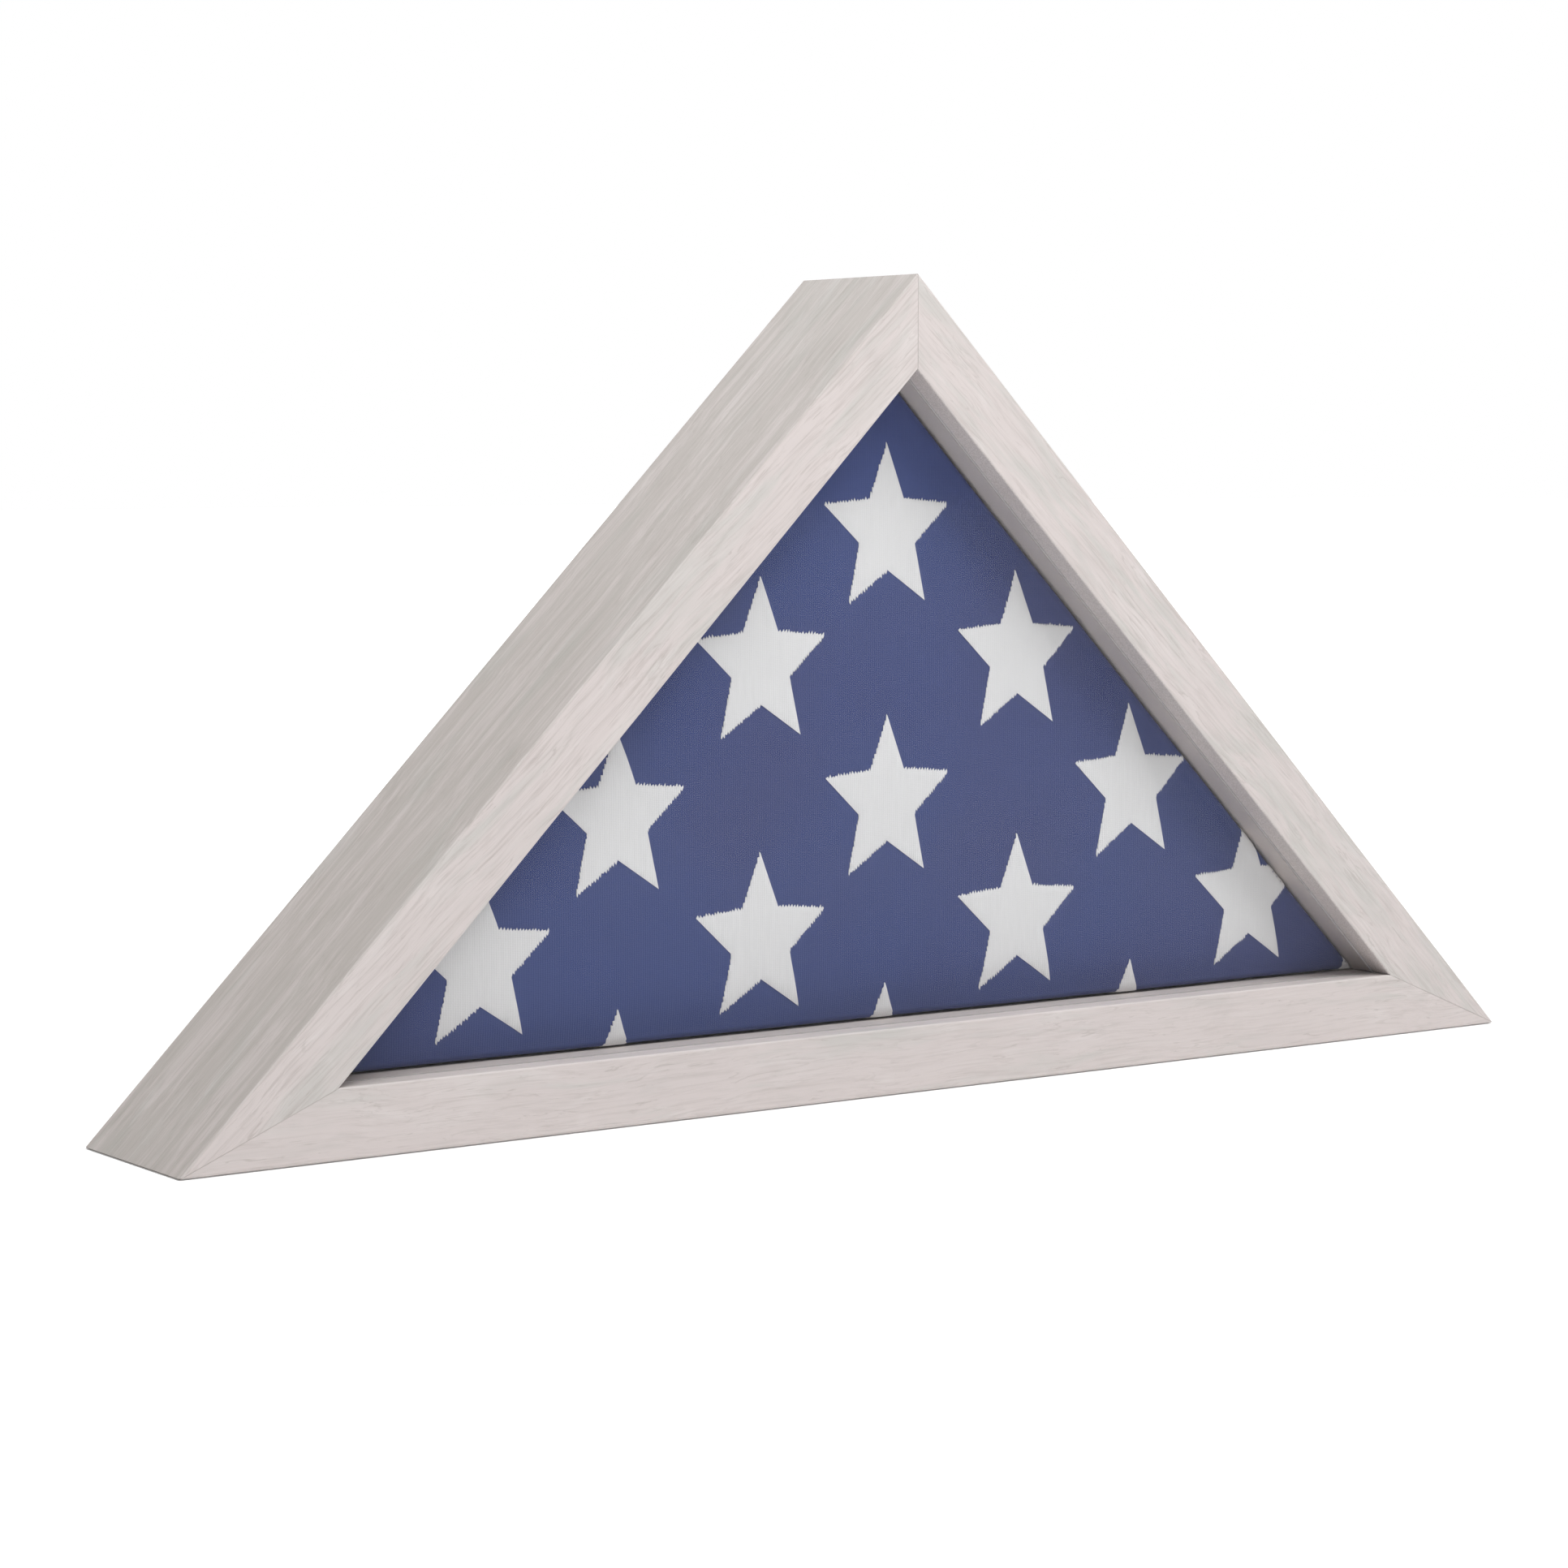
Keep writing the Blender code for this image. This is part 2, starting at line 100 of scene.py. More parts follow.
# The flag's bundle: its face rolls round to its sides, which show the edges of its folds
ROLL_RADIUS = 0.0026
CORNER_RADIUS = 0.0014
BUNDLE_INSET = FLAG_LOW[2]
BUNDLE_FRONT = FLAG_LOW[1] + 0.0016    # both leave room for the cloth's slack
BUNDLE_BACK = FLAG_HIGH[1] - 0.0024    # and this one for the tuck too
FACE_RINGS = 26                  # rings of faces from the middle to the rolled edge
FACE_MIDDLE = 0.002              # radius of the one face in the middle
ROLL_STEPS = 8
OUTLINE_STEPS = 64               # along each side of the bundle
CORNER_STEPS = 6
FOLD_COUNT = 9
FOLD_STEPS = 6
FOLD_DEPTH = 0.0014
TUCK_THICKNESS = 0.0012
TUCK_MARGIN = 0.008              # from the bundle's edges
TUCK_STEPS = 40

# Cloth simulation of the bundle
CLOTH_VOXEL = 0.006
CLOTH_PRESSURE = 3.0
CLOTH_FRAMES = 12
CLOTH_NEIGHBOURS = 6             # coarse points that a fine point follows
SLACK_CAP = (0.0004, 0.0012, 0.0004)   # how far the cloth may puff, by axis

# Hardware, in its own frame: along its arm or strap from its axis
SCREW_HEAD = 0.0022
SCREW_SHANK = 0.0016
SCREW_POINT = 0.003              # length of the tapered point
SCREW_TIP = 0.00025
CROSS_HALF_WIDTH = 0.00048
CROSS_HALF_LENGTH = 0.0019
CROSS_DEPTH = 0.0011
BUTTON_HUB = 0.0060
BUTTON_TIP = 0.0042
BUTTON_REACH = 0.0205
BUTTON_HOLE = 0.0021
BUTTON_ROLL = 0.00028            # radius of its rolled edges
RING_HALF = 0.0075
RING_REACH = 0.0117
RING_CORNER = 0.0020
WIRE_SIDES = 20
TURNED_SEGMENTS = 48
ARC_STEPS = 24
DOME_STEPS = 8

# The star field, as it lies on the flag's face
COLUMN_PITCH = 0.1305
ROW_PITCH = 0.1103
EVEN_TIP = (0.0, 0.2625)         # top point of the uppermost star
ODD_TIP = (0.0026, 0.2101)       # midway between two columns
STAR_HALF_WIDTH = 0.0326         # circumradius across
STAR_HALF_HEIGHT = 0.0353        # circumradius up
STAR_WAIST = 0.45                # inner corners, as a share of the outer radius
STAR_RELIEF = 0.00045
STAR_RIM = 0.45                  # relief of its rim, as a share of the star's
STAR_ROOT = 0.0002               # how far its underside lies in the cloth
TOOTH_FLAT = 0.0014              # pitch of the stitch ends where an edge runs across the columns
TOOTH_STEEP = 0.0023             # and where it runs along them
TOOTH_REACH = (0.0005, 0.0014)   # shortest and longest stitch end past the edge
TOOTH_NOTCH = 0.00035            # deepest notch between two of them
TOOTH_LEAN = 0.18
# Which of a star's edges end in loose stitches, clockwise from its top point
FRAYED = (False, True, True, False, False, True, True, False, True, True)
STAR_CELL = 0.0023               # size of the cells a star is cut into
STITCH_COLUMN = 0.00105          # width of a column of stitches, and of a rib in the cloth


# ---------------------------------------------------------------- material building
class Graph:
    """Short names for the nodes of one material."""

    def __init__(self, name, roughness=0.6, metallic=0.0):
        self.material = bpy.data.materials.new(name)
        self.material.use_nodes = True
        self.tree = self.material.node_tree
        self.shader = self.tree.nodes["Principled BSDF"]
        self.shader.inputs["Roughness"].default_value = roughness
        self.shader.inputs["Metallic"].default_value = metallic

    def put(self, socket, value):
        """Link another node's output to a socket, or set the socket's own value."""
        if isinstance(value, bpy.types.NodeSocket):
            self.tree.links.new(value, socket)
        elif isinstance(value, (tuple, list)) and len(socket.default_value) == 4:
            socket.default_value = (*value[:3], 1.0)
        else:
            socket.default_value = value

    def node(self, kind, *values, **settings):
        made = self.tree.nodes.new(kind)
        for name, value in settings.items():
            setattr(made, name, value)
        for socket, value in zip(made.inputs, values):
            if value is not None:
                self.put(socket, value)
        return made

    def place(self):
        """Object coordinates, which are the frame's own."""
        return self.node("ShaderNodeTexCoord").outputs["Object"]

    def vector(self, operation, a, b):
        return self.node("ShaderNodeVectorMath", a, b, operation=operation).outputs[0]

    def turned(self, vector, angle):
        """The vector turned about Y."""
        rotate = self.node("ShaderNodeVectorRotate", rotation_type="EULER_XYZ")
        self.put(rotate.inputs["Vector"], vector)
        rotate.inputs["Rotation"].default_value = (0.0, angle, 0.0)
        return rotate.outputs[0]

    def parts(self, vector):
        return self.node("ShaderNodeSeparateXYZ", vector).outputs

    def math(self, operation, a, b=0.0):
        return self.node("ShaderNodeMath", a, b, operation=operation).outputs[0]

    def noise(self, vector, scale, detail=3.0, roughness=0.55, distortion=0.0):
        made = self.node("ShaderNodeTexNoise")
        self.put(made.inputs["Vector"], vector)
        made.inputs["Scale"].default_value = scale
        made.inputs["Detail"].default_value = detail
        made.inputs["Roughness"].default_value = roughness
        made.inputs["Distortion"].default_value = distortion
        return made.outputs["Fac"]

    def ramp(self, value, low, high, smooth=True):
        """0 at low and 1 at high, which may be the smaller."""
        made = self.node("ShaderNodeMapRange", value, low, high, clamp=True)
        made.interpolation_type = "SMOOTHSTEP" if smooth else "LINEAR"
        return made.outputs[0]

    def mix(self, factor, a, b):
        made = self.node("ShaderNodeMix", data_type="RGBA")
        self.put(made.inputs["Factor"], factor)
        self.put(made.inputs[6], a)
        self.put(made.inputs[7], b)
        return made.outputs[2]

    def bump(self, height, strength, distance):
        made = self.node("ShaderNodeBump")
        made.inputs["Strength"].default_value = strength
        made.inputs["Distance"].default_value = distance
        self.put(made.inputs["Height"], height)
        return made.outputs[0]

    def finish(self, colour, roughness=None, normal=None):
        self.put(self.shader.inputs["Base Color"], colour)
        if roughness is not None:
            self.put(self.shader.inputs["Roughness"], roughness)
        if normal is not None:
            self.put(self.shader.inputs["Normal"], normal)
        return self.material


PINK_WASH = (0.570, 0.516, 0.502)
GREEN_WASH = (0.510, 0.488, 0.466)
LIGHT_WASH = (0.640, 0.600, 0.586)
GREY_WASH = (0.462, 0.434, 0.418)
BARE_WOOD = (0.340, 0.300, 0.280)
SIDE_WASH = (0.350, 0.328, 0.296)


def grain_space(graph, corner, turn):
    """Coordinates of a rail: X along it, Y to the back, Z in from its outer face."""
    return graph.turned(graph.vector("SUBTRACT", graph.place(), corner), -turn)


def rail_grain(g, local, seed, tilt):
    """Grain coordinates of a rail: set off by a seed, leaning a little, and wandering."""
    wander = g.math("SUBTRACT", g.noise(local, 9.0, 2.0), 0.5)
    shift = g.node("ShaderNodeCombineXYZ", seed, g.math("MULTIPLY", wander, 0.012),
                   g.math("MULTIPLY", wander, 0.012)).outputs[0]
    return g.turned(g.vector("ADD", local, shift), tilt)


def whitewash(name, corner, turn, wood):
    """Pale limed wood: streaks along the rail over pink and green-grey drifts, and wavy hairlines."""
    g = Graph(name)
    local = grain_space(g, corner, turn)
    _, depth, inward = g.parts(local)
    grain = rail_grain(g, local, wood["seed"], wood["tilt"])
    drift = g.noise(g.vector("MULTIPLY", grain, (0.16, 1.0, 1.0)), wood["drift"], 3.0, 0.62, 0.5)
    cloud = g.noise(g.vector("MULTIPLY", grain, (0.30, 1.0, 1.0)), 62.0, 3.0, 0.6, 0.8)
    streak = g.noise(g.vector("MULTIPLY", grain, (0.040, 1.0, 1.0)), 380.0, 6.0, 0.70, 0.4)
    fine = g.noise(g.vector("MULTIPLY", grain, (0.035, 1.0, 1.0)), 950.0, 3.0, 0.6)
    fleck = g.noise(g.vector("MULTIPLY", grain, (0.10, 1.0, 1.0)), 620.0, 3.0, 0.6, 1.2)
    vein = g.noise(g.vector("MULTIPLY", grain, (0.07, 1.0, 1.0)), 190.0, 4.0, 0.55, 1.0)

    colour = g.mix(g.ramp(drift, wood["green_from"], wood["green_from"] + 0.22), PINK_WASH, GREEN_WASH)
    colour = g.mix(g.math("MULTIPLY", g.ramp(cloud, 0.52, 0.72), 0.40), colour, LIGHT_WASH)
    colour = g.mix(g.math("MULTIPLY", g.ramp(cloud, 0.46, 0.28), 0.30), colour, GREY_WASH)
    much = wood["streaks"]
    colour = g.mix(g.math("MULTIPLY", g.ramp(streak, 0.53, 0.74), 0.62 * much), colour, BARE_WOOD)
    colour = g.mix(g.math("MULTIPLY", g.ramp(streak, 0.46, 0.28), 0.60 * much), colour, LIGHT_WASH)
    colour = g.mix(g.math("MULTIPLY", g.ramp(fine, 0.46, 0.70), 0.46 * much), colour, BARE_WOOD)
    lines = g.ramp(g.math("ABSOLUTE", g.math("SUBTRACT", vein, 0.5)), 0.022, 0.004)
    lines = g.math("MULTIPLY", lines, g.ramp(cloud, 0.44, 0.60))
    colour = g.mix(g.math("MULTIPLY", lines, wood["veins"]), colour, BARE_WOOD)
    colour = g.mix(g.math("MULTIPLY", g.ramp(fleck, 0.60, 0.74), 0.42), colour, BARE_WOOD)

    # The side of the case carries less wash than its face
    side = g.ramp(inward, 0.0012, 0.0002)
    band = g.noise(g.vector("MULTIPLY", grain, (0.030, 1.0, 1.0)), 150.0, 6.0, 0.72, 0.4)
    pale_streak = g.ramp(band, 0.64, 0.42)
    thinned = g.math("ADD", g.math("MULTIPLY", pale_streak, 0.40), 0.16)
    colour = g.mix(g.math("MULTIPLY", side, thinned), colour, SIDE_WASH)

    # The lip's cut edge shows speckled board
    cut_edge = g.ramp(inward, FACE_WIDTH - 0.0006, FACE_WIDTH - 0.0003)
    speckle = g.noise(local, 2100.0, 3.0, 0.75)
    bare = g.mix(g.ramp(speckle, 0.35, 0.65), (0.400, 0.358, 0.340), (0.640, 0.588, 0.570))
    colour = g.mix(g.math("MULTIPLY", cut_edge, wood["bare_edge"]), colour, bare)

    # Rubbed corners are a little lighter
    near_front = g.ramp(depth, 0.0012, 0.0003)
    near_side = g.math("MAXIMUM", g.ramp(inward, 0.0010, 0.0002),
                       g.ramp(inward, FACE_WIDTH - 0.0010, FACE_WIDTH - 0.0002))
    worn = g.math("MULTIPLY", g.math("MULTIPLY", near_front, near_side), g.ramp(fine, 0.35, 0.65))
    colour = g.mix(g.math("MULTIPLY", worn, 0.55), colour, LIGHT_WASH)

    relief = g.math("ADD", g.math("MULTIPLY", fine, 0.5), g.math("MULTIPLY", streak, 0.9))
    relief = g.math("ADD", relief, g.math("MULTIPLY", g.math("MULTIPLY", speckle, cut_edge), 0.9))
    roughness = g.math("ADD", g.math("MULTIPLY", streak, 0.24), 0.46)
    return g.finish(colour, roughness, g.bump(relief, 0.32, 0.00035))


def liner_wash(name, corner, turn, seed):
    """Smooth wrapped strip: the same wash, nearly without grain."""
    g = Graph(name, 0.62)
    local = g.vector("ADD", grain_space(g, corner, turn), (seed, 0.0, 0.0))
    soft = g.noise(g.vector("MULTIPLY", local, (0.2, 1.0, 1.0)), 60.0, 2.0)
    fine = g.noise(g.vector("MULTIPLY", local, (0.05, 1.0, 1.0)), 900.0, 3.0)
    colour = g.mix(soft, (0.572, 0.509, 0.490), (0.529, 0.480, 0.456))
    colour = g.mix(g.math("MULTIPLY", g.ramp(fine, 0.5, 0.8), 0.18), colour, (0.420, 0.376, 0.350))
    return g.finish(colour, normal=g.bump(fine, 0.12, 0.0002))


def flag_blue():
    """Blue bunting: faint upright ribs across a fine plain weave."""
    g = Graph("flag_blue", 0.92)
    place = g.place()
    x, _, z = g.parts(place)
    ribs = g.math("SINE", g.math("MULTIPLY", x, math.tau / STITCH_COLUMN))
    weft = g.math("SINE", g.math("MULTIPLY", z, math.tau / 0.00056))
    cloud = g.noise(place, 6.0, 2.0)
    colour = g.mix(g.ramp(cloud, 0.35, 0.65), (0.053, 0.071, 0.186), (0.058, 0.067, 0.162))
    thread = g.noise(g.vector("MULTIPLY", place, (1.0, 1.0, 0.06)), 1400.0, 2.0)
    colour = g.mix(g.math("MULTIPLY", g.ramp(thread, 0.45, 0.8), 0.18), colour, (0.090, 0.108, 0.240))
    colour = g.mix(g.math("MULTIPLY", g.ramp(ribs, 0.3, 1.0), 0.30), colour, (0.043, 0.054, 0.146))
    height = g.math("ADD", g.math("MULTIPLY", ribs, 0.4), g.math("MULTIPLY", weft, 0.3))
    g.shader.inputs["Sheen Weight"].default_value = 0.10
    g.shader.inputs["Sheen Roughness"].default_value = 0.5
    g.shader.inputs["Specular IOR Level"].default_value = 0.15
    return g.finish(colour, normal=g.bump(height, 0.18, 0.0001))


def star_thread():
    """White embroidery: upright columns of satin stitch."""
    g = Graph("star_thread", 0.8)
    place = g.place()
    x, _, z = g.parts(place)
    columns = g.math("SINE", g.math("MULTIPLY", x, math.tau / STITCH_COLUMN))
    stitches = g.math("SINE", g.math("ADD", g.math("MULTIPLY", z, math.tau / 0.0009),
                                     g.math("MULTIPLY", x, 900.0)))
    thread = g.noise(g.vector("MULTIPLY", place, (1.0, 1.0, 0.12)), 900.0, 3.0)
    colour = g.mix(thread, (0.600, 0.586, 0.592), (0.680, 0.666, 0.668))
    colour = g.mix(g.math("MULTIPLY", g.ramp(columns, 0.3, 1.0), 0.25), colour, (0.545, 0.536, 0.548))
    height = g.math("ADD", g.math("MULTIPLY", columns, 0.5), g.math("MULTIPLY", stitches, 0.2))
    g.shader.inputs["Sheen Weight"].default_value = 0.15
    return g.finish(colour, normal=g.bump(height, 0.25, 0.0001))


def clear_acrylic():
    """Clear low-glare sheet; the rim that the lip covers is opaque light grey, a painted highlight that
    shows as a light line along the lip's step.
    """
    g = Graph("clear_sheet", 0.55)
    facing = g.node("ShaderNodeLayerWeight", 0.5).outputs["Facing"]
    gloss = g.math("ADD", g.math("MULTIPLY", g.math("POWER", facing, 5.0), 0.4), 0.006)
    through = g.node("ShaderNodeBsdfTransparent", (0.985, 0.99, 0.99))
    mirror = g.node("ShaderNodeBsdfGlossy", (1.0, 1.0, 1.0))
    mirror.inputs["Roughness"].default_value = 0.05
    clear = g.node("ShaderNodeMixShader", gloss)
    g.tree.links.new(through.outputs[0], clear.inputs[1])
    g.tree.links.new(mirror.outputs[0], clear.inputs[2])

    margin = None
    for corner, turn, _ in SIDES.values():
        inward = g.parts(grain_space(g, corner, turn))[2]
        margin = inward if margin is None else g.math("MINIMUM", margin, inward)
    # Painted highlight: where the lip covers the sheet, it turns opaque light grey, so the slot behind
    # the lip shows as a light line instead of a dark one
    painted_highlight_mottle = g.noise(g.place(), 700.0, 2.0)
    g.put(g.shader.inputs["Base Color"], g.mix(painted_highlight_mottle, (0.62, 0.59, 0.58), (0.74, 0.71, 0.70)))
    rim = g.ramp(margin, FACE_WIDTH + 0.0001, FACE_WIDTH - 0.0001, smooth=False)
    both = g.node("ShaderNodeMixShader", rim)
    g.tree.links.new(clear.outputs[0], both.inputs[1])
    g.tree.links.new(g.shader.outputs[0], both.inputs[2])
    g.tree.links.new(both.outputs[0], g.tree.nodes["Material Output"].inputs["Surface"])
    return g.material


def hardboard():
    """Brown pressed fibre with darker flecks."""
    g = Graph("pressed_fibre", 0.7)
    place = g.place()
    fibre = g.noise(place, 420.0, 5.0, 0.7, 0.6)
    cloud = g.noise(place, 14.0, 3.0)
    fleck = g.noise(place, 1300.0, 2.0)
    colour = g.mix(fibre, (0.170, 0.093, 0.048), (0.300, 0.185, 0.105))
    colour = g.mix(g.math("MULTIPLY", g.ramp(cloud, 0.4, 0.7), 0.4), colour, (0.200, 0.118, 0.066))
    colour = g.mix(g.math("MULTIPLY", g.ramp(fleck, 0.62, 0.75), 0.6), colour, (0.070, 0.036, 0.020))
    roughness = g.math("ADD", g.math("MULTIPLY", fibre, 0.3), 0.42)
    return g.finish(colour, roughness, g.bump(fibre, 0.35, 0.0002))


def plated(name, colour, shade, roughness):
    """Plated steel: clouded plating, fine scratches."""
    g = Graph(name, roughness, 1.0)
    place = g.place()
    cloud = g.noise(place, 260.0, 3.0)
    scratch = g.noise(g.vector("MULTIPLY", place, (1.0, 1.0, 0.06)), 3200.0, 2.0)
    mixed = g.mix(cloud, colour, shade)
    rough = g.math("ADD", g.math("MULTIPLY", scratch, 0.25), roughness - 0.1)
    return g.finish(mixed, rough, g.bump(scratch, 0.12, 0.00008))


def bumper_rubber():
    """Matt black rubber with a moulded skin."""
    g = Graph("bumper_rubber", 0.75)
    skin = g.noise(g.place(), 1600.0, 3.0)
    colour = g.mix(skin, (0.022, 0.022, 0.023), (0.050, 0.049, 0.048))
    return g.finish(colour, normal=g.bump(skin, 0.3, 0.0001))


def glue_filler():
    """Stopping in the wood's own colour, a shade darker."""
    g = Graph("glue_filler", 0.7)
    grit = g.noise(g.place(), 900.0, 3.0)
    colour = g.mix(grit, (0.40, 0.365, 0.350), (0.50, 0.462, 0.446))
    return g.finish(colour, normal=g.bump(grit, 0.2, 0.0002))


# ---------------------------------------------------------------- meshes
def stitch(bm, rings, closed=False):
    """Quads between rings of points of equal length.  Open ends are capped."""
    loops = [[bm.verts.new(point) for point in ring] for ring in rings]
    pairs = list(zip(loops, loops[1:]))
    if closed:
        pairs.append((loops[-1], loops[0]))
    for near, far in pairs:
        for index in range(len(near)):
            after = (index + 1) % len(near)
            bm.faces.new((near[index], near[after], far[after], far[index]))
    if not closed:
        bm.faces.new(loops[0])
        bm.faces.new(reversed(loops[-1]))


def skin(rings, closed=False):
    """A new mesh stitched from rings."""
    bm = bmesh.new()
    stitch(bm, rings, closed)
    return bm


def finish_piece(name, bm, material, body="case"):
    """Turn a mesh into a named piece that rides on a body and has a material slot."""
    bmesh.ops.recalc_face_normals(bm, faces=bm.faces)
    mesh = bpy.data.meshes.new(name)
    bm.to_mesh(mesh)
    bm.free()
    mesh.shade_smooth()
    mesh.set_sharp_from_angle(angle=math.radians(40))
    piece = bpy.data.objects.new(name, mesh)
    piece.data.materials.append(material)
    bpy.context.scene.collection.objects.link(piece)
    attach(piece, body)
    return piece


# ---------------------------------------------------------------- the flag's shape
def undulation(x, z):
    """Slack in the cloth across the face: waves a quarter of a millimetre deep."""
    return 0.00025 * (math.sin(23 * x + 31 * z + 0.6) + 0.6 * math.sin(61 * x - 17 * z + 2.1)
                      + 0.5 * math.sin(13 * x + 83 * z))


EDGES = (
    (Vector((0.0, -1.0)), Vector((0.0, 0.0))),
    (Vector((math.sqrt(0.5), math.sqrt(0.5))), Vector((HALF_WIDTH, 0.0))),
    (Vector((-math.sqrt(0.5), math.sqrt(0.5))), Vector((-HALF_WIDTH, 0.0))),
)


def drape(x, z, lift):
    """Where a point of the flat star field comes to lie, lift above the cloth, rolled over the edges."""
    flat = Vector((x, z))
    moved = flat.copy()
    back = 0.0
    normal = Vector((0.0, -1.0, 0.0))
    for outward, on_edge in EDGES:
        inside = (on_edge - flat).dot(outward) - BUNDLE_INSET
        beyond = ROLL_RADIUS - inside
        if beyond <= 0:
            continue
        angle = min(beyond / ROLL_RADIUS, SQUARE_HALF * 2)
        down = max(0.0, beyond - ROLL_RADIUS * SQUARE_HALF * 2)
        moved += outward * (ROLL_RADIUS * math.sin(angle) - beyond)
        back += ROLL_RADIUS * (1 - math.cos(angle)) + down
        turned = Vector((outward.x * math.sin(angle), -math.cos(angle), outward.y * math.sin(angle)))
        normal = turned if normal.y == -1.0 else (normal + turned).normalized()
    face = BUNDLE_FRONT + undulation(moved.x, moved.y)
    return Vector((moved.x, face + back, moved.y)) + normal * lift


def rounded_triangle(inset, radius, edge_steps, corner_steps):
    """Points (x, z) of the case's outline, moved inward and its corners rounded."""
    half = HALF_WIDTH - inset / math.tan(SHARP_HALF)
    apex = HALF_WIDTH - inset / math.sin(SQUARE_HALF)
    corners = [Vector((-half, inset)), Vector((half, inset)), Vector((0, apex))]
    arcs = []
    for index, here in enumerate(corners):
        before = (corners[index - 1] - here).normalized()
        after = (corners[(index + 1) % 3] - here).normalized()
        opening = before.angle(after) / 2
        centre = here + (before + after).normalized() * (radius / math.sin(opening))
        first = here + before * (radius / math.tan(opening)) - centre
        sweep = math.pi - 2 * opening
        arcs.append([centre + Matrix.Rotation(sweep * step / corner_steps, 2) @ first
                     for step in range(corner_steps + 1)])
    points = []
    for index, arc in enumerate(arcs):
        points += arc
        following = arcs[(index + 1) % 3][0]
        points += [arc[-1].lerp(following, step / edge_steps) for step in range(1, edge_steps)]
    return points


def bundle_profile():
    """(inset, y) from the middle of the front to the end of the rolled edge."""
    middle = HALF_WIDTH * math.tan(SHARP_HALF) - FACE_MIDDLE
    rings = []
    for step in range(FACE_RINGS):
        inset = middle - step / FACE_RINGS * (middle - BUNDLE_INSET - ROLL_RADIUS)
        rings.append((inset, BUNDLE_FRONT))
    for step in range(ROLL_STEPS + 1):
        angle = math.pi / 2 * step / ROLL_STEPS
        rings.append((BUNDLE_INSET + ROLL_RADIUS * (1 - math.sin(angle)),
                      BUNDLE_FRONT + ROLL_RADIUS * (1 - math.cos(angle))))
    return rings


def side_profile():
    """The stacked folds on the bundle's sides, as (inset, y), from behind the rolled edge to the back."""
    low, high = BUNDLE_FRONT + ROLL_RADIUS, BUNDLE_BACK - ROLL_RADIUS
    rings = []
    for index in range(1, FOLD_COUNT * FOLD_STEPS):
        share = index / (FOLD_COUNT * FOLD_STEPS)
        dip = 1 - abs(math.sin(math.pi * FOLD_COUNT * share)) ** 0.5
        rings.append((BUNDLE_INSET + FOLD_DEPTH * dip, low + share * (high - low)))
    return rings


def tuck_outline(shrink):
    """Points (x, z) of the last fold on the bundle's back, moved in from its edges."""
    low = BUNDLE_INSET + TUCK_MARGIN
    corners = [Vector((-HALF_WIDTH + low / math.tan(SHARP_HALF), low)), Vector((0.085, low)),
               Vector((-0.006, HALF_WIDTH - low * math.sqrt(2) - 0.004))]
    middle = (corners[0] + corners[1] + corners[2]) / 3
    points = []
    for index, corner in enumerate(corners):
        following = corners[(index + 1) % 3]
        for step in range(TUCK_STEPS):
            point = corner.lerp(following, step / TUCK_STEPS)
            points.append(point + (middle - point).normalized() * shrink)
    return points


def add_tuck(bm):
    """The last fold, tucked under itself: a flap lying on the back of the bundle."""
    edge = TUCK_THICKNESS / 2
    levels = [(edge, -0.0004), (0.0, 0.0)]
    levels += [(edge * (1 - math.cos(angle)), edge + edge * math.sin(angle))
               for angle in (math.pi / 2 * step / 4 for step in range(5))]
    levels += [(0.004, 2 * edge), (0.012, 2 * edge - 0.0002), (0.030, 2 * edge - 0.0004)]
    stitch(bm, [[(x, BUNDLE_BACK + rise, z) for x, z in tuck_outline(shrink)] for shrink, rise in levels])


def settle(piece):
    """Cloth simulation of the bundle on a coarser copy.  Returns how far the cloth moves at a point."""
    scene = bpy.context.scene
    proxy = bpy.data.objects.new("cloth_proxy", piece.data.copy())
    scene.collection.objects.link(proxy)
    remesh = proxy.modifiers.new("remesh", "REMESH")
    remesh.mode = "VOXEL"
    remesh.voxel_size = CLOTH_VOXEL
    coarse = bpy.data.meshes.new_from_object(proxy.evaluated_get(bpy.context.evaluated_depsgraph_get()))
    proxy.modifiers.clear()
    proxy.data = coarse
    cloth = proxy.modifiers.new("cloth", "CLOTH")
    cloth.settings.quality = 4
    cloth.settings.use_pressure = True
    cloth.settings.uniform_pressure_force = CLOTH_PRESSURE
    cloth.settings.effector_weights.gravity = 0.0
    start = [vert.co.copy() for vert in coarse.vertices]
    for step in range(1, CLOTH_FRAMES + 1):
        scene.frame_set(step)
    puffed = proxy.evaluated_get(bpy.context.evaluated_depsgraph_get()).data
    moves = [vert.co - before for vert, before in zip(puffed.vertices, start)]
    tree = KDTree(len(start))
    for index, before in enumerate(start):
        tree.insert(before, index)
    tree.balance()
    scene.frame_set(1)
    bpy.data.objects.remove(proxy)

    def slack(point):
        total, weight = Vector(), 0.0
        for _, index, distance in tree.find_n(point, CLOTH_NEIGHBOURS):
            share = 1 / (distance + 0.001)
            total += moves[index] * share
            weight += share
        move = total / weight
        return Vector([cap * math.tanh(part / (4 * cap)) for part, cap in zip(move, SLACK_CAP)])

    return slack


def build_bundle():
    """The folded flag as one closed mesh: face, rolled edges, stacked folds, back and tuck."""
    front = bundle_profile()
    back = [(inset, BUNDLE_FRONT + BUNDLE_BACK - y) for inset, y in reversed(front)]
    rings = front + side_profile() + back
    bm = bmesh.new()
    points = []
    for inset, y in rings:
        outline = rounded_triangle(inset, CORNER_RADIUS, OUTLINE_STEPS, CORNER_STEPS)
        on_face = y < BUNDLE_FRONT + ROLL_RADIUS
        points.append([(x, y + (undulation(x, z) if on_face else 0.0), z) for x, z in outline])
    stitch(bm, points)
    add_tuck(bm)
    return finish_piece("flag_bundle", bm, flag_blue())


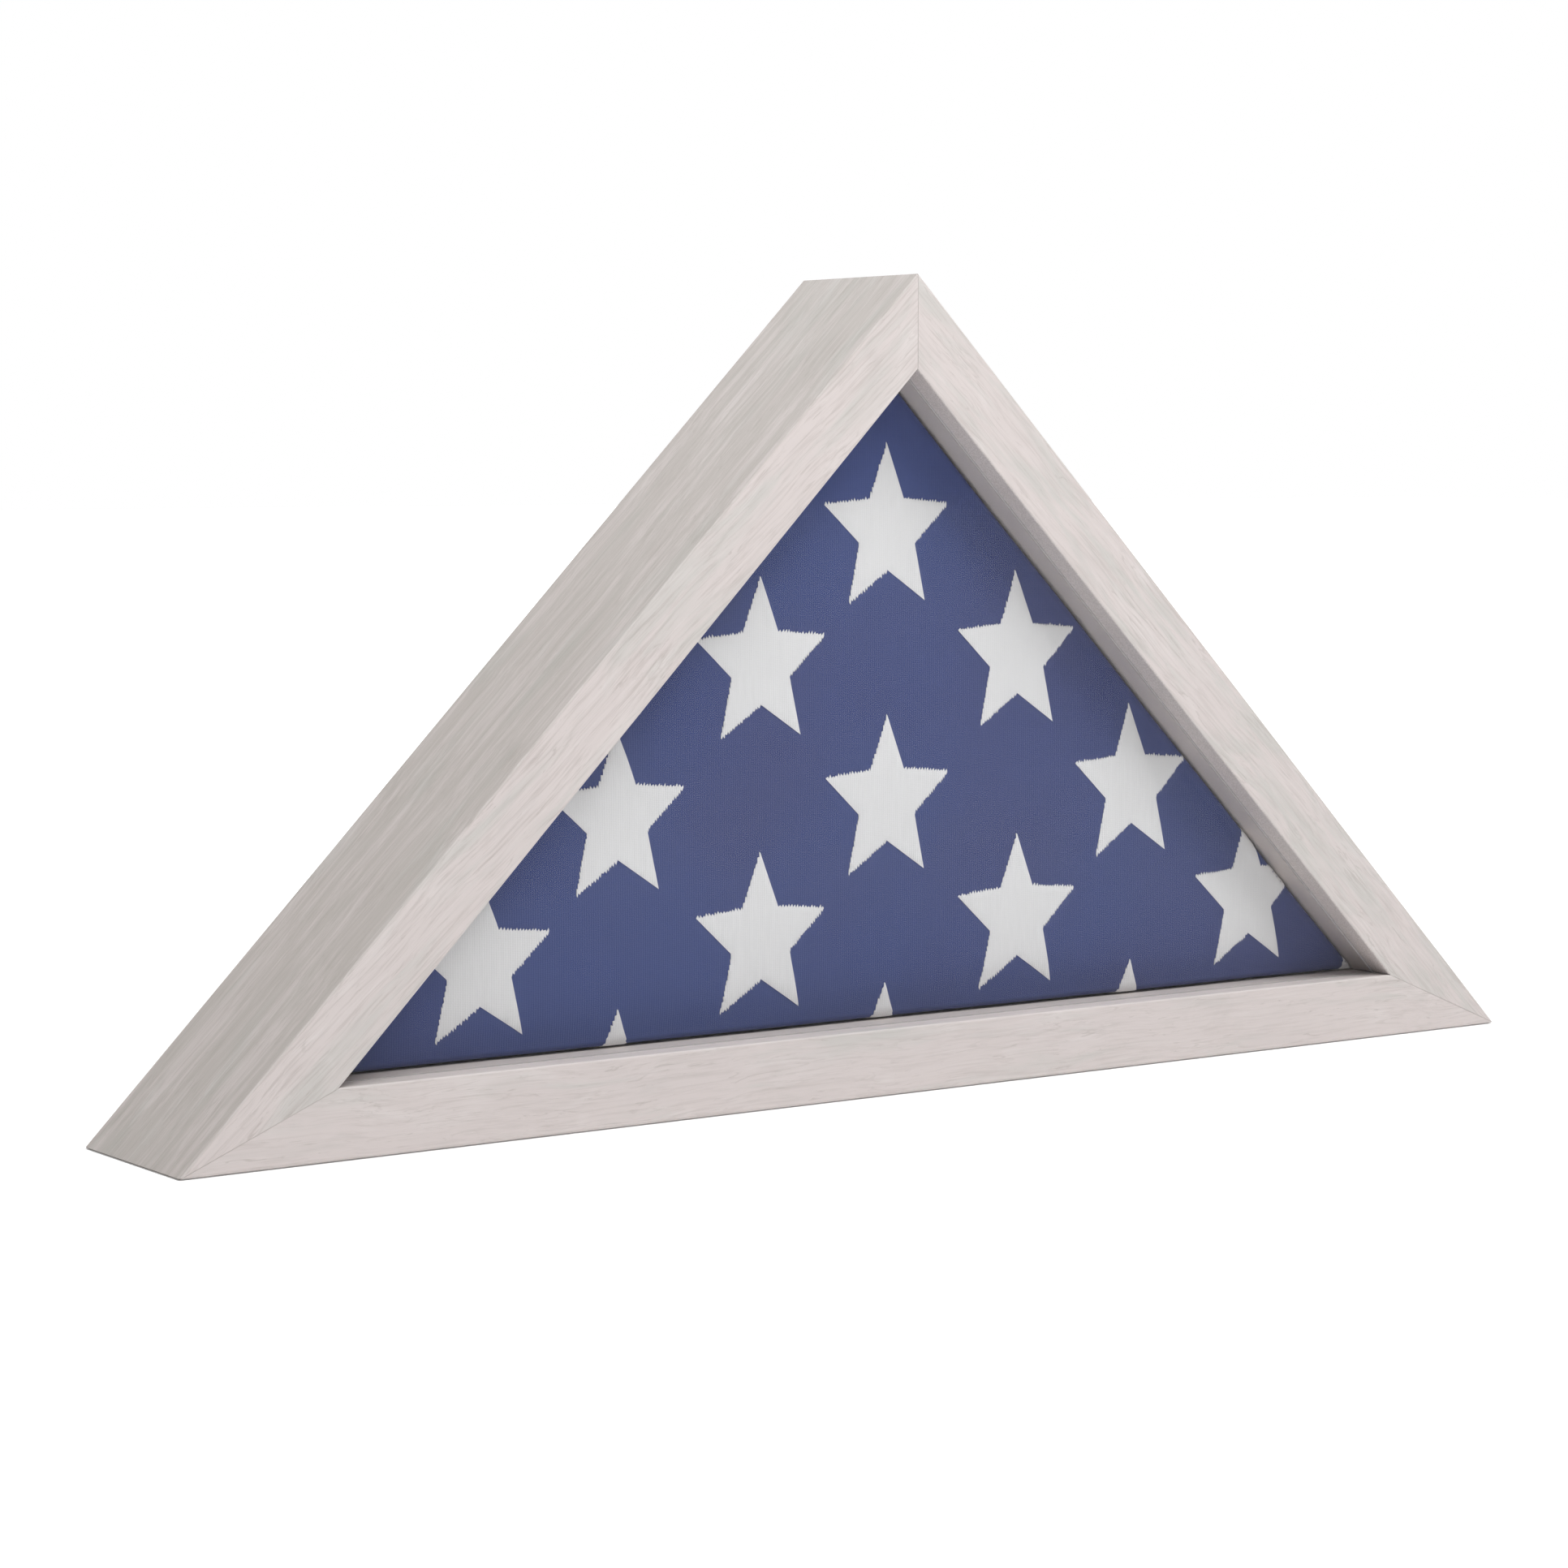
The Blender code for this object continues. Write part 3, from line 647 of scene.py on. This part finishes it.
def frayed_edge(start, end, chance):
    """Points along an edge where the columns of stitches end unevenly, each in an upright spike."""
    edge = end - start
    along = edge.normalized()
    outward = Vector((-along.y, along.x))
    steep = abs(along.y) > 0.8
    count = max(2, round(edge.length / (TOOTH_STEEP if steep else TOOTH_FLAT)))
    reach = Vector((TOOTH_LEAN * math.copysign(1, outward.x), math.copysign(1, outward.y)))
    points = []
    for step in range(count):
        valley = start + edge * ((step + chance.uniform(0.05, 0.25)) / count)
        spike = start + edge * ((step + chance.uniform(0.55, 0.85)) / count)
        points.append(valley - outward * chance.uniform(0.0, TOOTH_NOTCH))
        points.append(spike + reach * chance.uniform(*TOOTH_REACH))
    return points[1:]


def star_outline(tip, chance):
    """Five-pointed star (x, z) hanging from its top point, with its frayed edges."""
    centre = Vector((tip[0], tip[1] - STAR_HALF_HEIGHT))
    corners = []
    for index in range(10):
        radius = 1.0 if index % 2 == 0 else STAR_WAIST
        angle = math.tau * index / 10
        corners.append(centre + Vector((STAR_HALF_WIDTH * radius * math.sin(angle),
                                        STAR_HALF_HEIGHT * radius * math.cos(angle))))
    outline = []
    for index, corner in enumerate(corners):
        following = corners[(index + 1) % 10]
        outline.append(corner)
        if FRAYED[index]:
            outline += frayed_edge(corner, following, chance)
    return outline


def star_cells(outline):
    """The star as a flat mesh, cut into cells small enough to bend over an edge."""
    bm = bmesh.new()
    bm.faces.new([bm.verts.new((x, 0, z)) for x, z in outline])
    for axis in (0, 2):
        values = [vert.co[axis] for vert in bm.verts]
        first, last = math.ceil(min(values) / STAR_CELL), math.floor(max(values) / STAR_CELL)
        normal = Vector((1, 0, 0)) if axis == 0 else Vector((0, 0, 1))
        for index in range(first, last + 1):
            geometry = bm.verts[:] + bm.edges[:] + bm.faces[:]
            bmesh.ops.bisect_plane(bm, geom=geometry, plane_co=normal * index * STAR_CELL,
                                   plane_no=normal, dist=1e-6)
    return bm


def sink(target, cells, slack):
    """Add a star to the mesh: a thin closed patch with a lower rim, laid on the cloth."""
    rim = {vert for edge in cells.edges if edge.is_boundary for vert in edge.verts}
    top = {}
    under = {}
    for vert in cells.verts:
        height = STAR_RELIEF * (STAR_RIM if vert in rim else 1.0)
        moved = slack(drape(vert.co.x, vert.co.z, 0.0))
        top[vert] = target.verts.new(drape(vert.co.x, vert.co.z, height) + moved)
        under[vert] = target.verts.new(drape(vert.co.x, vert.co.z, -STAR_ROOT) + moved)
    for face in cells.faces:
        target.faces.new([top[vert] for vert in face.verts])
        target.faces.new([under[vert] for vert in reversed(face.verts)])
    for edge in cells.edges:
        if edge.is_boundary:
            a, b = edge.verts
            target.faces.new((top[a], top[b], under[b], under[a]))
    cells.free()


def star_tips():
    """Top points of the stars that show, row by row."""
    tips = []
    for row in range(5):
        start, height = EVEN_TIP if row % 2 == 0 else ODD_TIP
        z = height - ROW_PITCH * (row // 2)
        for column in range(-3, 4):
            x = start + COLUMN_PITCH * (column + (0.5 if row % 2 else 0.0))
            room = HALF_WIDTH - (z - 0.6 * STAR_HALF_HEIGHT) - BUNDLE_INSET * math.sqrt(2)
            if abs(x) < room + 0.2 * STAR_HALF_WIDTH:
                tips.append((x, z))
    return tips


def build_stars(slack):
    """All the stars as one piece."""
    bm = bmesh.new()
    chance = random.Random(7)
    for tip in star_tips():
        sink(bm, star_cells(star_outline(tip, chance)), slack)
    return finish_piece("flag_stars", bm, star_thread())


def build_flag():
    """The bundle, puffed by the simulation, and the stars laid on it."""
    bundle = build_bundle()
    slack_at = settle(bundle)
    for vert in bundle.data.vertices:
        vert.co += slack_at(vert.co)
    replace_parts(bundle, "folded_flag")
    build_stars(slack_at)


# ---------------------------------------------------------------- glue lines in the mitres
def build_mitre_glue(material):
    """Filled glue line in each mitre, set just below the wood and ending ahead of the V nails."""
    rear = REAR_Y - FRONT_Y - GLUE_REAR_STOP
    wall, lip, face = WALL - GLUE_INSET, LIP_DEPTH - GLUE_INSET, FACE_WIDTH - GLUE_INSET
    section = [(GLUE_INSET, GLUE_OUTER_INSET + GLUE_CORNER), (GLUE_CORNER, GLUE_OUTER_INSET),
               (rear, GLUE_OUTER_INSET), (rear, wall), (lip, wall), (lip, face),
               (GLUE_CORNER, face), (GLUE_INSET, FACE_WIDTH - GLUE_CORNER)]
    half = GAP / 2 - 0.00001
    for name, ((x, z), run_x, run_z) in CORNERS.items():
        stretch = math.sin(SQUARE_HALF if name == "apex" else SHARP_HALF)
        sides = []
        for hand in (-half, half):
            sides.append([(x + run_x * u / stretch - run_z * hand, FRONT_Y + v,
                           z + run_z * u / stretch + run_x * hand) for v, u in section])
        finish_piece("mitre_glue_" + name, skin(sides), material)


# ---------------------------------------------------------------- hardware on the back
def axis_of(node):
    """Point on the Y axis of a turned node."""
    low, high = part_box(node)
    return Vector(((low[0] + high[0]) / 2, 0.0, (low[2] + high[2]) / 2))


def rail_direction(node, hub):
    """Unit vector (x, z) from a hub to the middle of a node that reaches away from it."""
    low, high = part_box(node)
    return Vector(((low[0] + high[0]) / 2 - hub.x, (low[2] + high[2]) / 2 - hub.z)).normalized()


def seat(points, hub, run, y_base=None):
    """Local (along, y, across) points to the frame: hub on the axis, run the way of +along."""
    across = Vector((-run.y, run.x))
    base = hub.y if y_base is None else y_base
    return [Vector((hub.x + run.x * a + across.x * c, base + y, hub.z + run.y * a + across.y * c))
            for a, y, c in points]


def turned_rings(profile, segments=TURNED_SEGMENTS):
    """Local rings about the hub's axis from a profile of (radius, y)."""
    turns = [math.tau * step / segments for step in range(segments)]
    return [[(radius * math.cos(turn), y, radius * math.sin(turn)) for turn in turns]
            for radius, y in profile]


def dome(radius, low, high, tip):
    """Profile of a rounded head: from its rim, over its shoulder, to a small flat of the tip's radius."""
    angles = [math.pi / 2 * step / DOME_STEPS for step in range(DOME_STEPS + 1)]
    return [(tip + (radius - tip) * math.cos(angle), low + (high - low) * math.sin(angle))
            for angle in angles]


def pan_screw(node, material):
    """Pan head screw with a cross recess: the head is turned, and the recess is sunk into its crown."""
    low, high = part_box(node)
    hub = axis_of(node)
    top, radius = high[1], (high[0] - low[0]) / 2
    base = top - SCREW_HEAD
    profile = [(SCREW_TIP, low[1]), (SCREW_SHANK, low[1] + SCREW_POINT), (SCREW_SHANK, base),
               (radius * 0.97, base), (radius, base + 0.0003)]
    profile += dome(radius, base + 0.0009, top, radius * 0.52)
    profile += [(radius * share * 1.1, top) for share in (0.46, 0.36, 0.26, 0.16, 0.07)]
    rings = [[(a, y - recess(a, c) if y > top - 0.0001 else y, c) for a, y, c in ring]
             for ring in turned_rings(profile)]
    left_at = 0.6 + hub.x * 40   # each screw was left at its own angle
    run = Vector((math.cos(left_at), math.sin(left_at)))
    bm = skin([seat(ring, hub, run) for ring in rings])
    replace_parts(finish_piece(node + "_finish", bm, material), node)


def recess(a, c):
    """Depth of the cross recess at a point of the crown: two tapered arms meeting in a pit."""
    arm = 0.0
    for along, across in ((a, c), (c, a)):
        wall = max(0.0, 1 - (abs(across) / CROSS_HALF_WIDTH) ** 4)
        reach = max(0.0, 1 - (abs(along) / CROSS_HALF_LENGTH) ** 3)
        arm = max(arm, wall * reach)
    return CROSS_DEPTH * arm


def turn_button(name, material):
    """Pressed steel arm: round hub with a hole, narrower tip, rolled edges."""
    node = "turn_button_" + name
    hub = axis_of("turn_screw_" + name)
    run = rail_direction(node, hub)
    low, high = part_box(node)
    thick = high[1] - low[1]
    lean = math.asin((BUTTON_HUB - BUTTON_TIP) / BUTTON_REACH)
    arcs = ((0.0, BUTTON_HUB, math.pi / 2 - lean, math.pi * 1.5 + lean),
            (BUTTON_REACH, BUTTON_TIP, lean - math.pi / 2, math.pi / 2 - lean))

    turns = []
    for centre, radius, first, last in arcs:
        for step in range(ARC_STEPS + 1):
            turns.append((centre, radius, first + (last - first) * step / ARC_STEPS))

    def outline(shrink, y):
        return [(centre + (radius - shrink) * math.cos(angle), y, (radius - shrink) * math.sin(angle))
                for centre, radius, angle in turns]

    def hole(grow, y):
        radius = BUTTON_HOLE + grow
        return [(radius * math.cos(angle), y, radius * math.sin(angle)) for _, _, angle in turns]

    roll = BUTTON_ROLL
    rings = [hole(roll, 0.0), hole(0.0, roll), hole(0.0, thick - roll), hole(roll, thick),
             outline(roll * 1.4, thick), outline(roll * 0.4, thick - roll * 0.3),
             outline(0.0, thick - roll), outline(0.0, roll), outline(roll, 0.0)]
    bm = skin([seat(ring, hub, run, low[1]) for ring in rings], closed=True)
    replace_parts(finish_piece(node + "_finish", bm, material, "button_" + name), node)


def d_ring(side, material):
    """Bent wire ring: straight bar in the strap's curl, and a round bow."""
    node = "hanger_ring_" + side
    joint = next(j for j in frame["joints"] if j["name"] == "ring_" + side + "_swing")
    hub = Vector(joint["pos_m"])
    run = rail_direction(node, hub)
    low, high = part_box(node)
    wire = (high[1] - low[1]) / 2
    path = []
    for centre_a, centre_c, radius, first, last, steps in (
            (RING_CORNER, RING_HALF - RING_CORNER, RING_CORNER, math.pi, math.pi / 2, 6),
            (RING_REACH - RING_HALF, 0.0, RING_HALF, math.pi / 2, -math.pi / 2, 32),
            (RING_CORNER, RING_CORNER - RING_HALF, RING_CORNER, -math.pi / 2, -math.pi, 6)):
        for step in range(steps + 1):
            angle = first + (last - first) * step / steps
            path.append(Vector((centre_a + radius * math.cos(angle),
                                centre_c + radius * math.sin(angle))))
    rings = []
    for index, point in enumerate(path):
        along = (path[(index + 1) % len(path)] - path[index - 1]).normalized()
        out = Vector((along.y, -along.x))
        rings.append([(point.x + out.x * wire * math.cos(turn), wire * math.sin(turn),
                       point.y + out.y * wire * math.cos(turn))
                      for turn in (math.tau * step / WIRE_SIDES for step in range(WIRE_SIDES))])
    bm = skin([seat(ring, hub, run) for ring in rings], closed=True)
    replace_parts(finish_piece(node + "_finish", bm, material, "ring_" + side), node)


def bumper(side, material):
    """Moulded rubber bumper with a rolled shoulder and a shallow dish in its crown."""
    node = "wall_bumper_" + side
    low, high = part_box(node)
    radius, base, top = (high[0] - low[0]) / 2, low[1], high[1]
    profile = [(radius * 0.2, base), (radius * 0.96, base), (radius, base + 0.0003),
               (radius * 0.97, top - 0.0016)]
    profile += dome(radius * 0.97, top - 0.0014, top, radius * 0.62)
    profile += [(radius * 0.55, top - 0.0001), (radius * 0.40, top - 0.0003),
                (radius * 0.2, top - 0.00045), (radius * 0.06, top - 0.0005)]
    bm = skin([seat(ring, axis_of(node), Vector((1.0, 0.0))) for ring in turned_rings(profile)])
    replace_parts(finish_piece(node + "_finish", bm, material), node)


def build_hardware(zinc, brass, rubber):
    """Detailed pieces in place of the CAD's screws, turn buttons, rings and bumpers."""
    for node in list(NODES):
        if node.startswith("turn_screw_"):
            pan_screw(node, zinc)
            turn_button(node[len("turn_screw_"):], zinc)
        elif node.startswith("hanger_screw_"):
            pan_screw(node, brass)
    for side in ("left", "right"):
        d_ring(side, brass)
        bumper(side, rubber)


# ---------------------------------------------------------------- materials on the CAD's pieces
def dress(prefix, material):
    """Give a material to every CAD node whose name starts with the prefix."""
    for name, node in NODES.items():
        if name.startswith(prefix):
            node.data.materials.clear()
            node.data.materials.append(material)


def dress_all():
    """Materials on the CAD's nodes, and the hardware that shares them."""
    for side, (corner, turn, wood) in SIDES.items():
        dress(side + "_rail", whitewash(side + "_wash", corner, turn, wood))
        dress(side + "_liner", liner_wash(side + "_liner_wash", corner, turn, wood["seed"]))
    zinc = plated("zinc_plate", (0.66, 0.66, 0.64), (0.52, 0.53, 0.53), 0.34)
    brass = plated("brass_plate", (0.78, 0.60, 0.30), (0.66, 0.47, 0.22), 0.30)
    dress("glazing_panel", clear_acrylic())
    dress("back_panel", hardboard())
    dress("v_nail", zinc)
    dress("hanger_strap", brass)
    build_hardware(zinc, brass, bumper_rubber())


# ---------------------------------------------------------------- camera, light and floor
def build_camera():
    """Eye level a little above the case, from its front left."""
    data = bpy.data.cameras.new("camera")
    data.lens = 88.6
    data.sensor_width = 36.0
    camera = bpy.data.objects.new("camera", data)
    camera.location = (-0.9389, -1.2752, 0.2600)
    camera.rotation_euler = (math.radians(90 - 4.955), 0.0, math.radians(-35.25))
    bpy.context.scene.collection.objects.link(camera)
    bpy.context.scene.camera = camera


def add_light(name, place, aim, size, power):
    data = bpy.data.lights.new(name, "AREA")
    data.shape = "DISK"
    data.size = size
    data.energy = power
    lamp = bpy.data.objects.new(name, data)
    lamp.location = place
    lamp.rotation_euler = (Vector(aim) - Vector(place)).to_track_quat("-Z", "Y").to_euler()
    bpy.context.scene.collection.objects.link(lamp)


def build_studio():
    """White surroundings, three soft lamps, and a white floor that brightens away from the case."""
    world = bpy.data.worlds.new("studio")
    bpy.context.scene.world = world
    world.use_nodes = True
    tree = world.node_tree
    sky = tree.nodes["Background"]
    sky.inputs["Color"].default_value = (1.0, 1.0, 1.0, 1.0)
    sky.inputs["Strength"].default_value = 0.47
    seen = tree.nodes.new("ShaderNodeBackground")
    seen.inputs["Color"].default_value = (1.0, 1.0, 1.0, 1.0)
    seen.inputs["Strength"].default_value = 1.0
    path = tree.nodes.new("ShaderNodeLightPath")
    choose = tree.nodes.new("ShaderNodeMixShader")
    tree.links.new(path.outputs["Is Camera Ray"], choose.inputs[0])
    tree.links.new(sky.outputs[0], choose.inputs[1])
    tree.links.new(seen.outputs[0], choose.inputs[2])
    tree.links.new(choose.outputs[0], tree.nodes["World Output"].inputs[0])
    add_light("front_box", (0.38, -1.0, 2.15), (0, 0, 0.12), 1.4, 42.0)
    add_light("left_box", (-1.4, -0.6, 1.8), (0, 0, 0.1), 1.4, 4.0)
    add_light("rear_box", (0.5, 1.9, 1.7), (0, 0, 0.15), 1.2, 14.0)

    floor_mesh = bpy.data.meshes.new("floor")
    bm = bmesh.new()
    bmesh.ops.create_grid(bm, x_segments=8, y_segments=8, size=14.0)
    bm.to_mesh(floor_mesh)
    bm.free()
    floor = bpy.data.objects.new("floor", floor_mesh)
    floor.location = (0, 0, -0.0004)
    floor.data.materials.append(floor_white())
    bpy.context.scene.collection.objects.link(floor)


def floor_white():
    """White paper that glows more with distance from the case, so that it meets the surroundings."""
    g = Graph("floor_white", 0.8)
    g.shader.inputs["Emission Color"].default_value = (1.0, 1.0, 1.0, 1.0)
    place = g.place()
    away = g.node("ShaderNodeVectorMath", place, operation="LENGTH").outputs["Value"]
    near_glow = g.math("ADD", g.math("MULTIPLY", g.ramp(away, 0.3, 1.0), 0.40), 0.09)
    far_glow = g.math("MULTIPLY", g.ramp(away, 1.6, 4.5), 0.60)
    g.put(g.shader.inputs["Emission Strength"], g.math("ADD", near_glow, far_glow))
    paper = g.noise(place, 60.0, 2.0)
    return g.finish(g.mix(paper, (0.93, 0.93, 0.93), (0.95, 0.95, 0.95)))


build_camera()
build_studio()
bpy.context.scene.view_settings.view_transform = "Standard"
dress_all()
build_flag()
build_mitre_glue(glue_filler())
